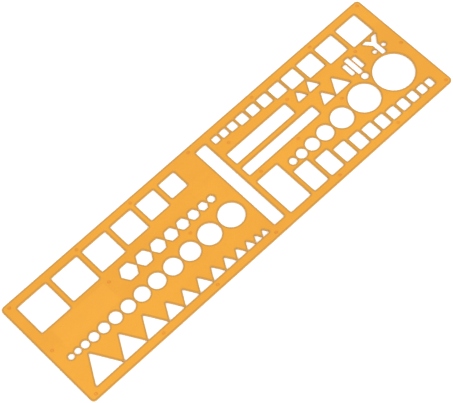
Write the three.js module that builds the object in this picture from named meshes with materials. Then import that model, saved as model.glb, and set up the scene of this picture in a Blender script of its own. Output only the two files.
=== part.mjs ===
import * as THREE from "three";

// Map symbol template: a thin plastic sheet with rows of cut-outs to draw through, held clear of
// the paper by small ink risers pressed into it. Millimetres, +Z up, the sheet lying flat.
// X runs along the sheet from its left end, and +Y points to its top edge, beside the squares.
// The origin is under the middle of the sheet, on the surface that the risers stand on.

// Sheet
const sheetLength = 300;
const sheetWidth = 83.2;
const sheetThickness = 1.2;
const sheetCornerRadius = 2.6;
const topMargin = 6.1; // from the top edge to the squares
const bottomMargin = 6.2; // from the bottom edge to the triangles and the upright rectangles
const leastWeb = 0.25; // every cut-out leaves at least this much sheet round it
const cutCornerRadius = 0.4;
const pointedCornerRadius = 0.25; // in the sharp corners of triangles and of the forked mark

// Ink risers
const riserFootHeight = 0.5; // how far the sheet is held above the paper
const riserFootDiameter = 2.8;
const riserFootChamfer = 0.2;
const riserShankDiameter = 1.8;
const riserFit = 0.04; // between the shank and the wall of its hole
const riserRecess = 0.1; // from the sheet's top face down to the end of the shank
const riserSides = 12;

// Risers at the ends and along the long edges, the latter as shares of the sheet's length
const leftEndRiserInset = 4.7;
const rightEndRiserInset = 3;
const edgeRiserShares = [0.195, 0.341, 0.502, 0.682, 0.85];

// Rows of the left half. A row's start is measured from the left end of the sheet to its first
// cut-out, a line from the top edge, and a web is the strip left between two neighbours. The
// webs of a row are a list, or one size for all of them.
const leftSquares = {
  start: 7.85,
  sides: [23, 21, 19, 17, 15, 13],
  webs: 3.9,
};
const hexagons = {
  start: 65,
  centreLine: 36,
  flats: [10.6, 9.6, 9, 8.1, 7.3, 6.7, 5.8, 4.8],
  webs: 0.73,
};
const leftCircles = {
  start: 8.05,
  centreLine: 52.5,
  diameters: [4.2, 4.5, 5.5, 6.6, 7.3, 8.5, 9.3, 10.3, 11.2, 12.1, 13.1, 15.1, 17.1],
  webs: [0.85, 0.8, 0.8, 1.1, 1.35, 1.3, 1.4, 1.4, 1.4, 1.5, 1.9, 1.9],
};
const baseTriangles = {
  start: 7.7,
  sides: [22.3, 18.4, 16.9, 12.7, 11.7, 10.8, 9.8, 9, 7.9, 6.85, 5.9, 5.4],
  webs: [0.35, 0.35, 0.35, 0.35, 0.35, 0.35, 0.35, 0.35, 0.35, 0, 0],
};

// The tall slot that divides the halves
const slotStart = 153.5;
const slotTop = 6.2;
const slotWidth = 8.4;
const slotLength = 69.7;
const slotWeb = 4.3; // from the slot to the bars and the upright rectangles

// Right half. Here a start or a centre is measured from the end of the slot's web, and that of
// the free triangles from the end of the bar beside them.
const rightStart = slotStart + slotWidth + slotWeb;
const rightSquares = {
  start: 0.35,
  sides: [4.8, 5.3, 5.8, 6.9, 7.2, 8, 9.2, 11.1, 13.2, 15.1, 17.1],
  webs: [1.5, 1.4, 1.45, 1.95, 2.1, 2.05, 1.9, 2.45, 2.8, 3.45],
};
const upperBar = { top: 20.7, length: 49.8, height: 9.3 };
const lowerBar = { top: 34, length: 60.3, height: 7.3 };
const upperTriangles = { start: 6.5, baseLine: 26.3, sides: [8.1, 9.1], webs: 1.6 };
const lowerTriangles = { start: 5.6, baseLine: 39.1, sides: [10.1, 13], webs: 0.3 };
const rightCircles = {
  start: 22.7,
  centreLine: 53,
  diameters: [5.3, 7.3, 9.4, 11.2, 15.1, 20.9, 26.8],
  webs: [1.05, 0.8, 0.8, 1.35, 1.45, 1.95],
};
const uprightRectangles = {
  start: 0,
  widths: [17, 11.7, 10.6, 9.3, 8.3, 8, 7.4, 6.8, 6.5, 6, 5.6, 4.8],
  heights: [29.7, 18.9, 15.3, 12.4, 10.9, 10, 9.1, 8, 7.6, 7, 6.1, 5.8],
  webs: [3.3, 2.9, 2.3, 2.35, 1.8, 1.75, 1.95, 1.9, 1.75, 1.75, 1.35],
};

// Three bars over a dot
const barMark = {
  centre: 98.3,
  middleTop: 25.2,
  middleWidth: 3.8,
  middleHeight: 13.9,
  sideTop: 27.45,
  sideWidth: 3.3,
  sideHeight: 9.4,
  sideWeb: 0.55,
  dotWeb: 0.65,
  dotDiameter: 5,
};

// A forked stem between two dots
const forkMark = {
  centre: 118.7,
  top: 24.95,
  height: 14.3,
  stemWidth: 3.6,
  forkDepth: 5.7, // from the top down to where the arms leave the stem
  armSpread: 12.9, // across the tips of both arms
  armWidth: 4.15, // along the top of one arm
  dotDiameter: 3.3,
  dotLine: 34.5,
  dotWeb: 0.4,
};

// Risers in the blank spots between the rows. The first number of each is measured from the
// left end, from the start of the right half or from the right end, the second from the top edge.
const leftInnerRisers = [
  [58, 32.7],
  [114.2, 43.8],
];
const rightInnerRisers = [
  [6.6, 15.8],
  [6.6, 44.2],
  [38.3, 44.2],
  [52.8, 19.7],
  [76.9, 43.4],
];
const lastInnerRiser = [27.5, 25.7];

const cornerSteps = 2;
const sheetCornerSteps = 5;
const facetDepth = 0.03; // how far the flats of a round cut-out lie inside its true circle at most

const bottomLine = sheetWidth - bottomMargin;

// The layout is given from the left end and the top edge of the sheet.
function place(fromLeft, fromTop) {
  return new THREE.Vector2(fromLeft - sheetLength / 2, sheetWidth / 2 - fromTop);
}

// Each corner of an outline becomes an arc. Corners and points run anticlockwise.
function roundCorners(corners, radius, steps) {
  return corners.flatMap((corner, index) => {
    const before = corners[(index + corners.length - 1) % corners.length];
    const after = corners[(index + 1) % corners.length];
    const toBefore = before.clone().sub(corner).normalize();
    const toAfter = after.clone().sub(corner).normalize();
    const halfAngle = Math.acos(toBefore.dot(toAfter)) / 2;
    const bisector = toBefore.clone().add(toAfter).normalize();
    const centre = corner.clone().addScaledVector(bisector, radius / Math.sin(halfAngle));
    const turn = Math.sign(toAfter.cross(toBefore)) * (Math.PI - 2 * halfAngle);
    const middle = bisector.clone().negate().angle();
    return Array.from({ length: steps + 1 }, (_, step) => {
      const angle = middle + turn * (step / steps - 0.5);
      return new THREE.Vector2(Math.cos(angle), Math.sin(angle)).multiplyScalar(radius).add(centre);
    });
  });
}

function box(left, top, width, height) {
  const corners = [
    place(left, top + height),
    place(left + width, top + height),
    place(left + width, top),
    place(left, top),
  ];
  return roundCorners(corners, cutCornerRadius, cornerSteps);
}

function polygon(centre, acrossCorners, sides) {
  return Array.from({ length: sides }, (_, side) => {
    const angle = (2 * Math.PI * side) / sides;
    const spoke = new THREE.Vector2(Math.cos(angle), Math.sin(angle));
    return spoke.multiplyScalar(acrossCorners / 2).add(centre);
  });
}

function circle(centre, diameter) {
  const halfStep = Math.acos(1 - (2 * facetDepth) / diameter);
  return polygon(centre, diameter, Math.ceil(Math.PI / halfStep));
}

function hexagon(centre, acrossCorners) {
  return roundCorners(polygon(centre, acrossCorners, 6), cutCornerRadius, cornerSteps);
}

// An equilateral triangle standing on its base.
function triangle(left, baseLine, side) {
  const height = side * Math.sin(Math.PI / 3);
  const corners = [
    place(left, baseLine),
    place(left + side, baseLine),
    place(left + side / 2, baseLine - height),
  ];
  return roundCorners(corners, pointedCornerRadius, cornerSteps);
}

// The left side of each cut-out of a row
function rowLefts(start, widths, webs) {
  let left = start;
  return widths.map((width, index) => {
    const here = left;
    left += width + (Array.isArray(webs) ? webs[index] : webs);
    return here;
  });
}

// A cut-out is kept or left out as a whole. Its reach is a convex outline that holds all of it.
function cutOut(outline) {
  return { outlines: [outline], reach: outline };
}

function squareRow({ start, sides, webs }, from = 0) {
  return rowLefts(from + start, sides, webs).map((left, index) =>
    cutOut(box(left, topMargin, sides[index], sides[index])),
  );
}

function circleRow({ start, centreLine, diameters, webs }, from = 0) {
  return rowLefts(from + start, diameters, webs).map((left, index) =>
    cutOut(circle(place(left + diameters[index] / 2, centreLine), diameters[index])),
  );
}

function triangleRow({ start, baseLine = bottomLine, sides, webs }, from = 0) {
  return rowLefts(from + start, sides, webs).map((left, index) =>
    cutOut(triangle(left, baseLine, sides[index])),
  );
}

function hexagonRow({ start, centreLine, flats, webs }) {
  const corners = flats.map((size) => size / Math.cos(Math.PI / 6));
  return rowLefts(start, corners, webs).map((left, index) =>
    cutOut(hexagon(place(left + corners[index] / 2, centreLine), corners[index])),
  );
}

function rectangleRow({ start, widths, heights, webs }, from) {
  return rowLefts(from + start, widths, webs).map((left, index) =>
    cutOut(box(left, bottomLine - heights[index], widths[index], heights[index])),
  );
}

function bar({ top, length, height }, from) {
  return cutOut(box(from, top, length, height));
}

function barAndDot(mark, from) {
  const centre = from + mark.centre;
  const middleLeft = centre - mark.middleWidth / 2;
  const sideLefts = [
    middleLeft - mark.sideWeb - mark.sideWidth,
    middleLeft + mark.middleWidth + mark.sideWeb,
  ];
  const dotLine = mark.middleTop + mark.middleHeight + mark.dotWeb + mark.dotDiameter / 2;
  return [
    cutOut(box(middleLeft, mark.middleTop, mark.middleWidth, mark.middleHeight)),
    ...sideLefts.map((left) => cutOut(box(left, mark.sideTop, mark.sideWidth, mark.sideHeight))),
    cutOut(circle(place(centre, dotLine), mark.dotDiameter)),
  ];
}

// The arms keep one slope, so the notch between them lies where their inner sides meet.
function forkAndDots(mark, from) {
  const centre = from + mark.centre;
  const armRun = (mark.armSpread - mark.stemWidth) / 2;
  const slope = mark.forkDepth / armRun;
  const innerTip = mark.armSpread / 2 - mark.armWidth;
  const at = (across, down) => place(centre + across, mark.top + down);
  const corners = [
    at(-mark.stemWidth / 2, mark.height),
    at(mark.stemWidth / 2, mark.height),
    at(mark.stemWidth / 2, mark.forkDepth),
    at(mark.armSpread / 2, 0),
    at(innerTip, 0),
    at(0, innerTip * slope),
    at(-innerTip, 0),
    at(-mark.armSpread / 2, 0),
    at(-mark.stemWidth / 2, mark.forkDepth),
  ];
  const dotSpacing = mark.stemWidth / 2 + mark.dotWeb + mark.dotDiameter / 2;
  const outlines = [
    roundCorners(corners, pointedCornerRadius, cornerSteps),
    circle(place(centre - dotSpacing, mark.dotLine), mark.dotDiameter),
    circle(place(centre + dotSpacing, mark.dotLine), mark.dotDiameter),
  ];
  const { min, max } = new THREE.Box2().setFromPoints(outlines.flat());
  const reach = [min, new THREE.Vector2(max.x, min.y), max, new THREE.Vector2(min.x, max.y)];
  return { outlines, reach };
}

// The clear distance between two convex outlines, square to the side that parts them best.
function gapBetween(first, second) {
  const pairs = [
    [first, second],
    [second, first],
  ];
  return Math.max(
    ...pairs.flatMap(([near, far]) =>
      near.map((corner, index) => {
        const side = near[(index + 1) % near.length].clone().sub(corner).normalize();
        return Math.min(...far.map((point) => point.clone().sub(corner).cross(side)));
      }),
    ),
  );
}

function isOnSheet(outline) {
  const room = new THREE.Box2(place(0, sheetWidth), place(sheetLength, 0)).expandByScalar(-leastWeb);
  return outline.every((point) => room.containsPoint(point));
}

// Risers by name: at the corners and the middles of the ends, along both long edges in the
// middle of the margins beside the rows, and in the blank spots between the rows.
function riserPlaces() {
  const topLine = topMargin / 2;
  const lowLine = sheetWidth - bottomMargin / 2;
  const middleLine = sheetWidth / 2;
  const ends = { left: leftEndRiserInset, right: sheetLength - rightEndRiserInset };
  const places = {};
  for (const [end, fromLeft] of Object.entries(ends)) {
    places[`riser_${end}_top_corner`] = place(fromLeft, topLine);
    places[`riser_${end}_bottom_corner`] = place(fromLeft, lowLine);
    places[`riser_${end}_end`] = place(fromLeft, middleLine);
  }
  edgeRiserShares.forEach((share, index) => {
    places[`riser_top_edge_${index + 1}`] = place(share * sheetLength, topLine);
    places[`riser_bottom_edge_${index + 1}`] = place(share * sheetLength, lowLine);
  });
  const innerPlaces = [
    ...leftInnerRisers.map(([across, down]) => place(across, down)),
    ...rightInnerRisers.map(([across, down]) => place(rightStart + across, down)),
    place(sheetLength - lastInnerRiser[0], lastInnerRiser[1]),
  ];
  innerPlaces.forEach((centre, index) => {
    places[`riser_inner_${index + 1}`] = centre;
  });
  return places;
}

// A flat foot under the sheet with a shank that fills its hole almost to the top face.
function riserGeometry() {
  const foot = riserFootDiameter / 2;
  const shank = riserShankDiameter / 2;
  const top = riserFootHeight + sheetThickness - riserRecess;
  const profile = [
    [0, 0],
    [foot - riserFootChamfer, 0],
    [foot, riserFootChamfer],
    [foot, riserFootHeight],
    [shank, riserFootHeight],
    [shank, top],
    [0, top],
  ];
  const points = profile.map(([radius, height]) => new THREE.Vector2(radius, height));
  return new THREE.LatheGeometry(points, riserSides).rotateX(Math.PI / 2);
}

// A cut-out is left out where it would run off the sheet or crowd a riser or an earlier one.
function fittingCutOuts(wanted, feet) {
  const kept = [];
  for (const candidate of wanted) {
    const neighbours = [...feet, ...kept.map((other) => other.reach)];
    const isClear = neighbours.every((other) => gapBetween(candidate.reach, other) >= leastWeb);
    if (isClear && isOnSheet(candidate.reach)) kept.push(candidate);
  }
  return kept;
}

function sheetGeometry(riserCentres) {
  const feet = riserCentres.map((centre) => circle(centre, riserFootDiameter));
  const riserHoles = riserCentres.map((centre) =>
    polygon(centre, riserShankDiameter + 2 * riserFit, riserSides),
  );
  const cutOuts = fittingCutOuts(
    [
      ...squareRow(leftSquares),
      ...hexagonRow(hexagons),
      ...circleRow(leftCircles),
      ...triangleRow(baseTriangles),
      cutOut(box(slotStart, slotTop, slotWidth, slotLength)),
      ...squareRow(rightSquares, rightStart),
      bar(upperBar, rightStart),
      bar(lowerBar, rightStart),
      ...triangleRow(upperTriangles, rightStart + upperBar.length),
      ...triangleRow(lowerTriangles, rightStart + lowerBar.length),
      ...circleRow(rightCircles, rightStart),
      ...rectangleRow(uprightRectangles, rightStart),
      ...barAndDot(barMark, rightStart),
      forkAndDots(forkMark, rightStart),
    ],
    feet,
  );
  const corners = [
    place(0, sheetWidth),
    place(sheetLength, sheetWidth),
    place(sheetLength, 0),
    place(0, 0),
  ];
  const shape = new THREE.Shape(roundCorners(corners, sheetCornerRadius, sheetCornerSteps));
  const holes = [...cutOuts.flatMap((item) => item.outlines), ...riserHoles];
  shape.holes = holes.map((outline) => new THREE.Path(outline));
  return new THREE.ExtrudeGeometry(shape, { depth: sheetThickness, bevelEnabled: false });
}

const sheetPlastic = new THREE.MeshStandardMaterial({
  color: 0xf2ab47,
  roughness: 0.35,
  metalness: 0,
});
const riserPlastic = new THREE.MeshStandardMaterial({
  color: 0xe08a35,
  roughness: 0.45,
  metalness: 0,
});

const centres = riserPlaces();

const sheet = new THREE.Mesh(sheetGeometry(Object.values(centres)), sheetPlastic);
sheet.name = "template_sheet";
sheet.position.z = riserFootHeight;

const risers = new THREE.Group();
const riserShape = riserGeometry();
for (const [name, centre] of Object.entries(centres)) {
  const riser = new THREE.Mesh(riserShape, riserPlastic);
  riser.name = name;
  riser.position.set(centre.x, centre.y, 0);
  risers.add(riser);
}

const mapSymbolTemplate = new THREE.Group();
mapSymbolTemplate.add(sheet, risers);

export default mapSymbolTemplate;
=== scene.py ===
import math

import bmesh
import bpy
from mathutils import Matrix, Vector


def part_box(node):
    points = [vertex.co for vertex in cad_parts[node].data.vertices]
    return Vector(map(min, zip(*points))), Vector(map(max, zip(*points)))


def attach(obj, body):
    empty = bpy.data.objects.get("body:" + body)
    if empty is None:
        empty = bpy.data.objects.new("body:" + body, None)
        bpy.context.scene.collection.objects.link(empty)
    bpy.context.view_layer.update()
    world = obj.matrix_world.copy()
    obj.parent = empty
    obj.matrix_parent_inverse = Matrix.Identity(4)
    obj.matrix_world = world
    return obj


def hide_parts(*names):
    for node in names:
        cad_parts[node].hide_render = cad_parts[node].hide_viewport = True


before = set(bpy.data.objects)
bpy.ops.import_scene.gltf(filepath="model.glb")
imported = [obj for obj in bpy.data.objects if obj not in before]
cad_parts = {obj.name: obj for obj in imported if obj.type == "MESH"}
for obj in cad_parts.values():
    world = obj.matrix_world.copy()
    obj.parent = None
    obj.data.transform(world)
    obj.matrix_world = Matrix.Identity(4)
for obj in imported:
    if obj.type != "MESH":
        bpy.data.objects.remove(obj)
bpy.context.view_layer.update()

# Drawing template lying flat on pale paper. Metres, +Z up, +X along the sheet.

cameraView = {
    "place": (-0.35076, -0.46911, 1.14031),
    "turn": (26.770, 3.674, -43.690),  # degrees about X, Y and Z
    "lens": 168.37,
    "nearest": 0.05,
    "furthest": 20.0,
}


def addCamera():
    lensData = bpy.data.cameras.new("studioCamera")
    lensData.lens = cameraView["lens"]
    lensData.clip_start = cameraView["nearest"]
    lensData.clip_end = cameraView["furthest"]
    camera = bpy.data.objects.new("studioCamera", lensData)
    camera.location = cameraView["place"]
    camera.rotation_euler = [math.radians(angle) for angle in cameraView["turn"]]
    bpy.context.scene.collection.objects.link(camera)
    bpy.context.scene.camera = camera


addCamera()
print("camera set")

studioLight = {
    "skyColour": (1.0, 1.0, 1.0, 1.0),
    "skyStrength": 0.75,
    "softboxes": {
        "mainSoftbox": {"place": (-2.0, -1.5, 3.3), "size": 3.0, "power": 106.0},
        "fillSoftbox": {"place": (1.1, -2.4, 3.2), "size": 3.0, "power": 92.0},
    },
}


# A square lamp that faces the middle of the object
def addSoftbox(name, place, size, power):
    lamp = bpy.data.lights.new(name, "AREA")
    lamp.size = size
    lamp.energy = power
    softbox = bpy.data.objects.new(name, lamp)
    softbox.location = place
    towards = -Vector(place)
    softbox.rotation_euler = towards.to_track_quat("-Z", "Y").to_euler()
    bpy.context.scene.collection.objects.link(softbox)


def addStudio():
    sky = bpy.data.worlds.new("studioSky")
    sky.use_nodes = True
    backdrop = sky.node_tree.nodes["Background"]
    backdrop.inputs["Color"].default_value = studioLight["skyColour"]
    backdrop.inputs["Strength"].default_value = studioLight["skyStrength"]
    bpy.context.scene.world = sky
    for name, settings in studioLight["softboxes"].items():
        addSoftbox(name, **settings)
    bpy.context.scene.view_settings.view_transform = "Standard"


addStudio()
print("light set")


# Node helpers

def addNode(tree, kind, at, **settings):
    node = tree.nodes.new(kind)
    node.location = at
    for name, value in settings.items():
        setattr(node, name, value)
    return node


# A socket takes another node's output, or a value of its own
def feed(tree, socket, value):
    if isinstance(value, bpy.types.NodeSocket):
        tree.links.new(value, socket)
    else:
        socket.default_value = value


def mathNode(tree, operation, at, *values):
    node = addNode(tree, "ShaderNodeMath", at, operation=operation)
    for socket, value in zip(node.inputs, values):
        feed(tree, socket, value)
    return node.outputs[0]


def vectorNode(tree, operation, at, *values):
    node = addNode(tree, "ShaderNodeVectorMath", at, operation=operation)
    for socket, value in zip(node.inputs, values):
        feed(tree, socket, value)
    return node.outputs


# Turns the stretch from fromLow to fromHigh into one from toLow to toHigh
def rangeNode(tree, at, value, fromLow, fromHigh, toLow=0.0, toHigh=1.0, smooth=False):
    node = addNode(tree, "ShaderNodeMapRange", at)
    node.interpolation_type = "SMOOTHSTEP" if smooth else "LINEAR"
    feed(tree, node.inputs["Value"], value)
    feed(tree, node.inputs["From Min"], fromLow)
    feed(tree, node.inputs["From Max"], fromHigh)
    feed(tree, node.inputs["To Min"], toLow)
    feed(tree, node.inputs["To Max"], toHigh)
    return node.outputs["Result"]


def mixColour(tree, at, share, first, second):
    node = addNode(tree, "ShaderNodeMix", at, data_type="RGBA")
    feed(tree, node.inputs[0], share)
    feed(tree, node.inputs[6], first)  # 6 and 7 are the sockets for colours
    feed(tree, node.inputs[7], second)
    return node.outputs[2]


def noiseNode(tree, at, place, scale, detail=2.0, roughness=0.5, distortion=0.0):
    node = addNode(tree, "ShaderNodeTexNoise", at)
    feed(tree, node.inputs["Vector"], place)
    feed(tree, node.inputs["Scale"], scale)
    node.inputs["Detail"].default_value = detail
    node.inputs["Roughness"].default_value = roughness
    node.inputs["Distortion"].default_value = distortion
    return node.outputs["Fac"]


def mappingNode(tree, at, place, shift=(0, 0, 0), turn=0, scale=(1, 1, 1)):
    node = addNode(tree, "ShaderNodeMapping", at)
    feed(tree, node.inputs["Vector"], place)
    node.inputs["Location"].default_value = shift
    node.inputs["Rotation"].default_value = (0, 0, math.radians(turn))
    node.inputs["Scale"].default_value = scale
    return node.outputs["Vector"]


def bumpNode(tree, at, height, strength, distance, normal=None, invert=False):
    node = addNode(tree, "ShaderNodeBump", at, invert=invert)
    feed(tree, node.inputs["Height"], height)
    node.inputs["Strength"].default_value = strength
    node.inputs["Distance"].default_value = distance
    if normal is not None:
        feed(tree, node.inputs["Normal"], normal)
    return node.outputs["Normal"]


# How much a point of the surface faces up, from -1 to 1
def upwardness(tree, at):
    surface = addNode(tree, "ShaderNodeNewGeometry", at)
    split = addNode(tree, "ShaderNodeSeparateXYZ", (at[0] + 200, at[1]))
    tree.links.new(surface.outputs["Normal"], split.inputs[0])
    return split.outputs["Z"]


# Each wanted input is a name, a kind and a first value, each output a name and a kind
def newGroup(name, wanted, given):
    tree = bpy.data.node_groups.new(name, "ShaderNodeTree")
    for label, kind, value in wanted:
        kind = "NodeSocket" + kind
        socket = tree.interface.new_socket(name=label, in_out="INPUT", socket_type=kind)
        if value is not None:
            socket.default_value = value
    for label, kind in given:
        kind = "NodeSocket" + kind
        tree.interface.new_socket(name=label, in_out="OUTPUT", socket_type=kind)
    start = addNode(tree, "NodeGroupInput", (-900, 0))
    end = addNode(tree, "NodeGroupOutput", (900, 0))
    return tree, start.outputs, end.inputs


# Slow drift of the pigment through the moulding, and a fine speckle on top of it
pigmentPattern = {
    "stretch": (0.45, 1.0, 1.0),
    "cloud": {"scale": 26.0, "detail": 3.0, "distortion": 0.8},
    "cloudRange": (0.35, 0.68),
    "grain": {"scale": 1500.0, "detail": 2.0},
    "grainRange": (0.45, 0.75),
}


def makePigmentDrift():
    pattern = pigmentPattern
    tree, given, result = newGroup(
        "pigmentDrift",
        [
            ("Place", "Vector", None),
            ("Colour", "Color", (0.8, 0.4, 0.1, 1)),
            ("Deeper", "Color", (0.6, 0.3, 0.05, 1)),
            ("Drift", "Float", 0.2),
            ("Speckle", "Float", 0.1),
        ],
        [("Colour", "Color")],
    )
    stretched = mappingNode(tree, (-700, 200), given["Place"], scale=pattern["stretch"])
    cloud = noiseNode(tree, (-500, 200), stretched, **pattern["cloud"])
    grain = noiseNode(tree, (-500, -100), given["Place"], **pattern["grain"])
    cloudShare = rangeNode(tree, (-250, 200), cloud, *pattern["cloudRange"], smooth=True)
    grainShare = rangeNode(tree, (-250, -100), grain, *pattern["grainRange"])
    drift = mathNode(tree, "MULTIPLY", (0, 200), cloudShare, given["Drift"])
    speckle = mathNode(tree, "MULTIPLY", (0, -100), grainShare, given["Speckle"])
    share = mathNode(tree, "ADD", (200, 50), drift, speckle)
    colour = mixColour(tree, (400, 0), share, given["Colour"], given["Deeper"])
    tree.links.new(colour, result["Colour"])
    return tree


# Hairline scratches that run in three directions
scratchPattern = {
    "runs": [
        {"turn": 12, "shift": (0.0, 0.21, 0.0), "scale": (26, 2300, 40)},
        {"turn": 71, "shift": (0.37, 0.21, 0.11), "scale": (34, 2900, 40)},
        {"turn": -38, "shift": (0.74, 0.21, 0.22), "scale": (22, 2000, 40)},
    ],  # degrees, and scales along, across and up
    "contrast": 14.0,
}


def scratchRun(tree, down, place, rarity, turn, shift, scale):
    turned = mappingNode(tree, (-640, down), place, shift, turn)
    drawn = mappingNode(tree, (-460, down), turned, scale=scale)
    streak = noiseNode(tree, (-280, down), drawn, 1.0, detail=1.0)
    above = mathNode(tree, "SUBTRACT", (-80, down), streak, rarity)
    return mathNode(tree, "MULTIPLY", (100, down), above, scratchPattern["contrast"])


def makeHairScratches():
    tree, given, result = newGroup(
        "hairScratches",
        [("Place", "Vector", None), ("Rarity", "Float", 0.7), ("Size", "Float", 1.0)],
        [("Mask", "Float")],
    )
    sized = vectorNode(tree, "MULTIPLY", (-820, 0), given["Place"], given["Size"])["Vector"]
    mask = 0.0
    for index, run in enumerate(scratchPattern["runs"]):
        down = -320 * index
        line = scratchRun(tree, down, sized, given["Rarity"], **run)
        mask = mathNode(tree, "MAXIMUM", (460, down), mask, line)
    tree.links.new(mathNode(tree, "MINIMUM", (680, 0), mask, 1.0), result["Mask"])
    return tree


# Specks of dust, each in a cell of its own
def makeDustSpecks():
    tree, given, result = newGroup(
        "dustSpecks",
        [
            ("Place", "Vector", None),
            ("Cells", "Float", 180.0),
            ("Speck", "Float", 0.05),
            ("Share", "Float", 0.3),
        ],
        [("Mask", "Float")],
    )
    cells = addNode(tree, "ShaderNodeTexVoronoi", (-560, 0))
    tree.links.new(given["Place"], cells.inputs["Vector"])
    tree.links.new(given["Cells"], cells.inputs["Scale"])
    split = addNode(tree, "ShaderNodeSeparateColor", (-340, -160))
    tree.links.new(cells.outputs["Color"], split.inputs["Color"])
    chosen = mathNode(tree, "LESS_THAN", (-120, -160), split.outputs[0], given["Share"])
    radius = mathNode(tree, "MULTIPLY", (-120, -320), split.outputs[1], given["Speck"])
    speck = mathNode(tree, "LESS_THAN", (80, 0), cells.outputs["Distance"], radius)
    tree.links.new(mathNode(tree, "MULTIPLY", (300, 0), speck, chosen), result["Mask"])
    return tree


# Finger smudges: broad soft patches that dull the gloss
smudgePattern = {
    "noise": {"detail": 4.0, "roughness": 0.62, "distortion": 0.6},
    "barest": 0.78,  # where a patch begins while its share is nothing
    "reach": 0.4,  # how far a full share brings that down
    "softness": 0.16,
}


def makeSmudges():
    pattern = smudgePattern
    tree, given, result = newGroup(
        "handlingSmudges",
        [("Place", "Vector", None), ("Size", "Float", 40.0), ("Share", "Float", 0.5)],
        [("Mask", "Float")],
    )
    patch = noiseNode(tree, (-560, 0), given["Place"], given["Size"], **pattern["noise"])
    reach = mathNode(tree, "MULTIPLY", (-520, -260), given["Share"], pattern["reach"])
    low = mathNode(tree, "SUBTRACT", (-340, -200), pattern["barest"], reach)
    high = mathNode(tree, "ADD", (-160, -200), low, pattern["softness"])
    mask = rangeNode(tree, (80, 0), patch, low, high, smooth=True)
    tree.links.new(mask, result["Mask"])
    return tree


# Marks left by the tool that trimmed the walls, running up the sheet's thickness
trimPattern = {
    "stretch": (1.0, 1.0, 0.05),
    "layerShare": 0.5,
}


def makeTrimmedWall():
    pattern = trimPattern
    tree, given, result = newGroup(
        "trimmedWall",
        [("Place", "Vector", None), ("Lines", "Float", 3200.0), ("Layers", "Float", 900.0)],
        [("Height", "Float")],
    )
    spread = vectorNode(tree, "MULTIPLY", (-420, 0), given["Place"], pattern["stretch"])
    upright = noiseNode(tree, (-200, 60), spread["Vector"], given["Lines"])
    layer = noiseNode(tree, (-200, -220), given["Place"], given["Layers"])
    layered = mathNode(tree, "MULTIPLY", (-20, -220), layer, pattern["layerShare"])
    tree.links.new(mathNode(tree, "ADD", (60, 0), upright, layered), result["Height"])
    return tree


# How far a point of the sheet is from the middle of the nearest riser, seen from above
def makeRiserDistance():
    tree, given, result = newGroup(
        "riserDistance",
        [("Place", "Vector", None)],
        [("Distance", "Float")],
    )
    level = vectorNode(tree, "MULTIPLY", (-700, 0), given["Place"], (1, 1, 0))["Vector"]
    nearest = 1.0  # further than the sheet is long
    for index, name in enumerate(riserNodes):
        low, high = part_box(name)
        middle = ((low.x + high.x) / 2, (low.y + high.y) / 2, 0)
        across, down = 40 * index, -80 * index
        apart = vectorNode(tree, "DISTANCE", (across - 500, down), level, middle)["Value"]
        nearest = mathNode(tree, "MINIMUM", (across, down), nearest, apart)
    tree.links.new(nearest, result["Distance"])
    return tree


riserNodes = sorted(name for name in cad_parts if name.startswith("riser_"))

pigmentDrift = makePigmentDrift()
hairScratches = makeHairScratches()
dustSpecks = makeDustSpecks()
handlingSmudges = makeSmudges()
trimmedWall = makeTrimmedWall()
riserDistance = makeRiserDistance()
print("shader groups made")


def placeGroup(tree, group, at, place, **values):
    node = addNode(tree, "ShaderNodeGroup", at, node_tree=group)
    tree.links.new(place, node.inputs["Place"])
    for name, value in values.items():
        node.inputs[name].default_value = value
    return node.outputs


def startMaterial(name, refraction):
    material = bpy.data.materials.new(name)
    material.use_nodes = True
    tree = material.node_tree
    shader = tree.nodes["Principled BSDF"]
    shader.location = (900, 0)
    shader.inputs["IOR"].default_value = refraction
    place = addNode(tree, "ShaderNodeTexCoord", (-1300, 0)).outputs["Object"]
    return material, tree, shader, place


sheetFinish = {
    "face": (0.62, 0.27, 0.0155, 1),
    "deeperFace": (0.57, 0.236, 0.012, 1),
    "drift": {"Drift": 0.55, "Speckle": 0.16},
    "refraction": 1.49,
    # painted shade: colour of the darker band along the cut edges, and the settings of its mask
    "rim": (0.39, 0.195, 0.0262, 1),
    "rimReach": 0.0014,
    "rimRays": 12,
    "belowShare": 0.2653,  # of the rays of that length, those that end on the far face
    "rimFade": (0.02, 0.2),
    "rimEdge": (0.25, 0.36),
    "rimEdgeShare": 0.68,
    # painted shade: a darker copy of the face colour on the walls of the cut-outs
    "wall": (0.475, 0.23, 0.034, 1),
    "wallTilt": (0.25, 0.85),  # from all wall to all face
    "roughness": 0.3,
    "wallRoughness": 0.22,
    "smudges": {"Size": 34.0, "Share": 0.5},
    "smudgeRoughness": 0.07,
    "scratches": {"Rarity": 0.71, "Size": 1.0},
    "scratchRoughness": 0.16,
    "dust": (0.75, 0.68, 0.6, 1),
    "dustSpecks": {"Cells": 210.0, "Speck": 0.045, "Share": 0.22},
    "dustShare": 0.35,
    "unevenness": {"scale": 95.0, "detail": 2.0},
    "unevenBump": {"strength": 0.35, "distance": 0.00012},
    "scratchBump": {"strength": 0.3, "distance": 0.000012},
    "wallBump": {"strength": 0.5, "distance": 0.00004},
}

# The bare field for a title, near the left end
titleField = {
    "colour": (0.63, 0.283, 0.02, 1),
    "share": 0.6,
    "inset": 0.013,  # from the left end of the sheet
    "length": 0.042,
    "height": 0.015,
    "above": 0.003,  # from the sheet's middle line up to the field's
    "blur": 0.0006,
}

# Painted shade: a darker, redder spot where a riser's foot and its shade would show faintly through
# the sheet, and round it the painted dark rim is left out
riserMark = {
    "glow": (0.54, 0.193, 0.008, 1),
    "glowShare": 0.55,
    "glowReach": (0.0008, 0.0017),
    "clearReach": (0.0017, 0.0023),
}


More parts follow.
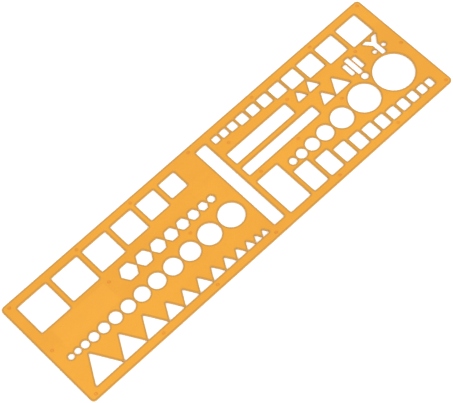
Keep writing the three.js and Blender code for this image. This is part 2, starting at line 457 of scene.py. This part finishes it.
# A soft-edged box on the sheet's face, seen from above
def boxMask(tree, at, place, corners, blur):
    left, top = at
    split = addNode(tree, "ShaderNodeSeparateXYZ", at)
    tree.links.new(place, split.inputs[0])
    sides = []
    for axis in (0, 1):
        down = top - 200 * axis
        low, high = corners[0][axis], corners[1][axis]
        along = split.outputs[axis]
        rise = rangeNode(tree, (left + 200, down), along, low - blur, low + blur, smooth=True)
        fall = rangeNode(tree, (left + 200, down - 100), along, high + blur, high - blur, smooth=True)
        sides.append(mathNode(tree, "MULTIPLY", (left + 400, down), rise, fall))
    return mathNode(tree, "MULTIPLY", (left + 600, top), *sides)


def titleMask(tree, at, place):
    field = titleField
    low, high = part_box("template_sheet")
    left = low.x + field["inset"]
    middle = (low.y + high.y) / 2 + field["above"]
    corners = (
        (left, middle - field["height"] / 2),
        (left + field["length"], middle + field["height"] / 2),
    )
    mask = boxMask(tree, at, place, corners, field["blur"])
    return mathNode(tree, "MULTIPLY", (at[0] + 800, at[1]), mask, field["share"])


# Painted shade: a darker band along every cut edge, from ambient occlusion inside the plastic, where
# a point near an edge sees the wall and one in the open doesn't
def paintedRimShadeMask(tree, place, away):
    finish = sheetFinish
    depth = addNode(
        tree,
        "ShaderNodeAmbientOcclusion",
        (-900, 100),
        inside=True,
        only_local=True,
        samples=finish["rimRays"],
    )
    depth.inputs["Distance"].default_value = finish["rimReach"]
    openShare = 1.0 - finish["belowShare"]
    near = mathNode(tree, "SUBTRACT", (-720, 100), openShare, depth.outputs["AO"])
    fade = rangeNode(tree, (-560, 200), near, *finish["rimFade"], smooth=True)
    edge = (*finish["rimEdge"], 1.0, finish["rimEdgeShare"])
    edgeShare = rangeNode(tree, (-560, 0), near, *edge, smooth=True)
    share = mathNode(tree, "MULTIPLY", (-400, 100), fade, edgeShare)
    clear = rangeNode(tree, (-560, 400), away, *riserMark["clearReach"], smooth=True)
    return mathNode(tree, "MULTIPLY", (-250, 100), share, clear)


def sheetColour(tree, place, wallShare):
    finish = sheetFinish
    drift = placeGroup(
        tree,
        pigmentDrift,
        (-900, 500),
        place,
        Colour=finish["face"],
        Deeper=finish["deeperFace"],
        **finish["drift"],
    )
    titleShare = titleMask(tree, (-1200, 800), place)
    colour = mixColour(tree, (-200, 500), titleShare, drift["Colour"], titleField["colour"])
    away = placeGroup(tree, riserDistance, (-900, 300), place)["Distance"]
    # painted shade round each riser's foot
    reach = (*riserMark["glowReach"], riserMark["glowShare"], 0.0)
    glow = rangeNode(tree, (-560, 500), away, *reach, smooth=True)
    colour = mixColour(tree, (-100, 600), glow, colour, riserMark["glow"])
    # painted shade along the cut edges
    colour = mixColour(tree, (0, 400), paintedRimShadeMask(tree, place, away), colour, finish["rim"])
    # painted shade on the walls
    colour = mixColour(tree, (200, 300), wallShare, colour, finish["wall"])
    specks = placeGroup(tree, dustSpecks, (-300, 1000), place, **finish["dustSpecks"])
    dustShare = mathNode(tree, "MULTIPLY", (100, 900), specks["Mask"], finish["dustShare"])
    return mixColour(tree, (420, 400), dustShare, colour, finish["dust"])


def sheetRoughness(tree, place, wallShare, scratches):
    finish = sheetFinish
    smudges = placeGroup(tree, handlingSmudges, (-900, -700), place, **finish["smudges"])
    dull = mathNode(tree, "MULTIPLY", (-500, -600), smudges["Mask"], finish["smudgeRoughness"])
    worn = mathNode(tree, "MULTIPLY", (-500, -450), scratches, finish["scratchRoughness"])
    handled = mathNode(tree, "ADD", (-300, -500), dull, worn)
    wall = mathNode(tree, "MULTIPLY", (-300, -350), wallShare, finish["wallRoughness"])
    plain = mathNode(tree, "ADD", (-200, -300), wall, finish["roughness"])
    return mathNode(tree, "ADD", (-100, -400), handled, plain)


def sheetNormal(tree, place, wallShare, scratches):
    finish = sheetFinish
    uneven = noiseNode(tree, (-900, -950), place, **finish["unevenness"])
    normal = bumpNode(tree, (100, -900), uneven, **finish["unevenBump"])
    normal = bumpNode(
        tree, (350, -800), scratches, **finish["scratchBump"], normal=normal, invert=True
    )
    marks = placeGroup(tree, trimmedWall, (-300, -1100), place)
    wallHeight = mathNode(tree, "MULTIPLY", (100, -1100), marks["Height"], wallShare)
    return bumpNode(tree, (600, -800), wallHeight, **finish["wallBump"], normal=normal)


def makeSheetPlastic():
    finish = sheetFinish
    material, tree, shader, place = startMaterial("orangeSheetPlastic", finish["refraction"])
    flatness = mathNode(tree, "ABSOLUTE", (-520, -200), upwardness(tree, (-900, -200)))
    tilt = (*finish["wallTilt"], 1.0, 0.0)
    wallShare = rangeNode(tree, (-340, -200), flatness, *tilt, smooth=True)
    group = placeGroup(tree, hairScratches, (-900, -500), place, **finish["scratches"])
    scratches = group["Mask"]
    tree.links.new(sheetColour(tree, place, wallShare), shader.inputs["Base Color"])
    roughness = sheetRoughness(tree, place, wallShare, scratches)
    tree.links.new(roughness, shader.inputs["Roughness"])
    tree.links.new(sheetNormal(tree, place, wallShare, scratches), shader.inputs["Normal"])
    return material


riserFinish = {
    "end": (0.6, 0.222, 0.01, 1),
    "deeperEnd": (0.54, 0.185, 0.008, 1),
    "drift": {"Drift": 0.6, "Speckle": 0.3},
    "refraction": 1.49,
    "rubbed": (0.62, 0.30, 0.09, 1),
    "rubbedTilt": (-0.9, -0.35),  # the foot's underside and its chamfer
    "rubbedPatches": {"Size": 900.0, "Share": 0.9},
    "rubbedShare": 0.5,
    "roughness": 0.42,
    "rubbedRoughness": 0.15,
    "scratches": {"Rarity": 0.66, "Size": 2.4},
    "scratchRoughness": 0.15,
    "pebbleScale": 2600.0,
    "pebbleBump": {"strength": 0.25, "distance": 0.00003},
    "scratchBump": {"strength": 0.3, "distance": 0.00001},
}


# The foot's flat underside and its chamfer are rubbed paler and rougher
def rubbedMask(tree, place):
    finish = riserFinish
    tilt = (*finish["rubbedTilt"], 1.0, 0.0)
    below = rangeNode(tree, (-500, 0), upwardness(tree, (-900, 0)), *tilt, smooth=True)
    patches = placeGroup(
        tree, handlingSmudges, (-900, -250), place, **finish["rubbedPatches"]
    )
    return mathNode(tree, "MULTIPLY", (-300, 0), below, patches["Mask"])


def riserColour(tree, place, rubbed):
    finish = riserFinish
    drift = placeGroup(
        tree,
        pigmentDrift,
        (-900, 400),
        place,
        Colour=finish["end"],
        Deeper=finish["deeperEnd"],
        **finish["drift"],
    )
    share = mathNode(tree, "MULTIPLY", (-150, 0), rubbed, finish["rubbedShare"])
    return mixColour(tree, (100, 200), share, drift["Colour"], finish["rubbed"])


def riserRoughness(tree, rubbed, scratches):
    finish = riserFinish
    worn = mathNode(tree, "MULTIPLY", (-500, -500), scratches, finish["scratchRoughness"])
    dull = mathNode(tree, "MULTIPLY", (-400, -300), rubbed, finish["rubbedRoughness"])
    handled = mathNode(tree, "ADD", (-300, -400), worn, dull)
    return mathNode(tree, "ADD", (-100, -400), handled, finish["roughness"])


def riserNormal(tree, place, scratches):
    finish = riserFinish
    pebble = noiseNode(tree, (-500, -800), place, finish["pebbleScale"])
    normal = bumpNode(tree, (100, -700), pebble, **finish["pebbleBump"])
    return bumpNode(
        tree, (350, -700), scratches, **finish["scratchBump"], normal=normal, invert=True
    )


def makeRiserPlastic():
    finish = riserFinish
    material, tree, shader, place = startMaterial("orangeRiserPlastic", finish["refraction"])
    rubbed = rubbedMask(tree, place)
    group = placeGroup(tree, hairScratches, (-900, -500), place, **finish["scratches"])
    scratches = group["Mask"]
    tree.links.new(riserColour(tree, place, rubbed), shader.inputs["Base Color"])
    tree.links.new(riserRoughness(tree, rubbed, scratches), shader.inputs["Roughness"])
    tree.links.new(riserNormal(tree, place, scratches), shader.inputs["Normal"])
    return material


sheetPlastic = makeSheetPlastic()
riserPlastic = makeRiserPlastic()
print("materials made")


# Selecting and shaping

def pickOnly(piece):
    bpy.ops.object.select_all(action="DESELECT")
    piece.select_set(True)
    bpy.context.view_layer.objects.active = piece


# Leaves only the wanted faces or edges selected. The kind is FACE or EDGE.
def pick(piece, kind, wanted):
    bpy.ops.mesh.select_mode(type=kind)
    shape = bmesh.from_edit_mesh(piece.data)
    for item in [*shape.faces, *shape.edges, *shape.verts]:
        item.select = False
    for item in shape.faces if kind == "FACE" else shape.edges:
        if wanted(item):
            item.select_set(True)
    bmesh.update_edit_mesh(piece.data)


# The picked edges become a rounding of a few steps
def roundPicked(radius, steps):
    bpy.ops.mesh.bevel(
        offset=radius,
        offset_type="OFFSET",
        segments=steps,
        profile=0.5,
        affect="EDGES",
    )


sheetShape = {
    "rimRounding": 0.00011,
    "rimSteps": 3,
    "mergeDistance": 0.000002,
    "flatAngle": 1,  # degrees, below which two facets are one
    "levelTilt": 0.999,
    "rimTilts": (0.05, 0.95),  # of the wall and of the level face beside a rim
}


def isLevel(face):
    return abs(face.normal.z) > sheetShape["levelTilt"]


def isRim(edge):
    wallTilt, levelTilt = sheetShape["rimTilts"]
    tilts = sorted(abs(face.normal.z) for face in edge.link_faces)
    return len(tilts) == 2 and tilts[0] < wallTilt and tilts[1] > levelTilt


# Top face and underside are filled afresh between the rounded rims of the cut-outs
def fillFaces(sheet):
    pick(sheet, "FACE", isLevel)
    bpy.ops.mesh.delete(type="FACE")
    middle = sum(point[2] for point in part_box("template_sheet")) / 2
    for side in (1, -1):
        pick(
            sheet,
            "EDGE",
            lambda edge: edge.is_boundary and (edge.verts[0].co.z - middle) * side > 0,
        )
        bpy.ops.mesh.fill(use_beauty=True)
    bpy.ops.mesh.select_all(action="SELECT")
    bpy.ops.mesh.normals_make_consistent(inside=False)


def buildSheet():
    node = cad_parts["template_sheet"]
    sheet = bpy.data.objects.new("symbolSheet", node.data.copy())
    bpy.context.scene.collection.objects.link(sheet)
    sheet.data.name = "symbolSheet"
    pickOnly(sheet)
    bpy.ops.mesh.customdata_custom_splitnormals_clear()
    bpy.ops.object.mode_set(mode="EDIT")
    bpy.ops.mesh.select_all(action="SELECT")
    bpy.ops.mesh.remove_doubles(threshold=sheetShape["mergeDistance"])
    bpy.ops.mesh.dissolve_limited(angle_limit=math.radians(sheetShape["flatAngle"]))
    pick(sheet, "EDGE", isRim)
    roundPicked(sheetShape["rimRounding"], sheetShape["rimSteps"])
    fillFaces(sheet)
    bpy.ops.object.mode_set(mode="OBJECT")
    isSmooth = [not isLevel(face) for face in sheet.data.polygons]
    sheet.data.polygons.foreach_set("use_smooth", isSmooth)
    sheet.data.materials.clear()
    sheet.data.materials.append(sheetPlastic)
    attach(sheet, "root")
    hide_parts("template_sheet")
    return sheet


symbolSheet = buildSheet()
print("sheet built", len(symbolSheet.data.polygons), "faces")


riserShape = {
    "footChamfer": 0.0002,
    "shankRadius": 0.0009,
    "endRounding": 0.00012,
    "dimpleRadius": 0.00035,
    "dimpleEdge": 0.00008,
    "dimpleDepth": 0.00006,
    "sides": 40,
    "roundingSteps": 3,
    "tolerance": 0.00001,  # for an edge to count as on a rim
    "smoothAngle": 40,
}

# The foot fills the gap under the sheet, and the rest is read off the first riser's box
riserLow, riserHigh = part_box(riserNodes[0])
footRadius = (riserHigh.x - riserLow.x) / 2
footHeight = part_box("template_sheet")[0].z - riserLow.z
riserHeight = riserHigh.z - riserLow.z


def isOn(edge, radius, height):
    near = riserShape["tolerance"]
    return all(
        abs(point.co.xy.length - radius) < near and abs(point.co.z - height) < near
        for point in edge.verts
    )


def isLowerRim(edge):
    return isOn(edge, footRadius, 0)


def isUpperRim(edge):
    onFoot = isOn(edge, footRadius, footHeight)
    return onFoot or isOn(edge, riserShape["shankRadius"], riserHeight)


def shapeRiser():
    size = riserShape
    bpy.ops.object.select_all(action="DESELECT")
    bpy.ops.mesh.primitive_cylinder_add(
        vertices=size["sides"],
        radius=footRadius,
        depth=footHeight,
        location=(0, 0, footHeight / 2),
    )
    riser = bpy.context.object
    riser.name = "inkRiser"
    bpy.ops.object.transform_apply(location=True, rotation=True, scale=True)
    bpy.ops.object.mode_set(mode="EDIT")
    # shank out of the foot's upper face
    pick(riser, "FACE", lambda face: face.normal.z > 0.9)
    bpy.ops.mesh.inset(thickness=footRadius - size["shankRadius"], depth=0)
    shank = (0, 0, riserHeight - footHeight)
    bpy.ops.mesh.extrude_region_move(TRANSFORM_OT_translate={"value": shank})
    # small dimple in the shank's end
    bpy.ops.mesh.inset(thickness=size["shankRadius"] - size["dimpleRadius"], depth=0)
    bpy.ops.mesh.inset(thickness=size["dimpleEdge"], depth=-size["dimpleDepth"])
    pick(riser, "EDGE", isLowerRim)
    roundPicked(size["footChamfer"], size["roundingSteps"])
    pick(riser, "EDGE", isUpperRim)
    roundPicked(size["endRounding"], size["roundingSteps"])
    bpy.ops.object.mode_set(mode="OBJECT")
    bpy.ops.object.shade_smooth_by_angle(angle=math.radians(size["smoothAngle"]))
    riser.data.materials.append(riserPlastic)
    return riser


# From riser_left_end to inkRiserLeftEnd
def pieceName(node):
    words = node.split("_")[1:]
    return "inkRiser" + "".join(word.capitalize() for word in words)


def placeRisers():
    riser = shapeRiser()
    for name in riserNodes:
        low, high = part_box(name)
        middle = (low + high) / 2
        copy = bpy.data.objects.new(pieceName(name), riser.data.copy())
        copy.data.transform(Matrix.Translation((middle.x, middle.y, low.z)))
        bpy.context.scene.collection.objects.link(copy)
        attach(copy, "root")
        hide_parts(name)
    bpy.data.objects.remove(riser)
    return len(riserNodes)


print("risers placed", placeRisers())


floorFinish = {
    "paper": (0.95, 0.95, 0.95, 1),
    "roughness": 0.9,
    "size": 8.0,
    "drop": 0.00003,  # a hair under the risers' feet, so that the two flats don't flicker
}


def addFloor():
    bpy.ops.object.select_all(action="DESELECT")
    place = (0, 0, -floorFinish["drop"])
    bpy.ops.mesh.primitive_plane_add(size=floorFinish["size"], location=place)
    floor = bpy.context.object
    floor.name = "studioFloor"
    material = bpy.data.materials.new("palePaper")
    material.use_nodes = True
    shader = material.node_tree.nodes["Principled BSDF"]
    shader.inputs["Base Color"].default_value = floorFinish["paper"]
    shader.inputs["Roughness"].default_value = floorFinish["roughness"]
    floor.data.materials.append(material)


addFloor()
print("floor laid")
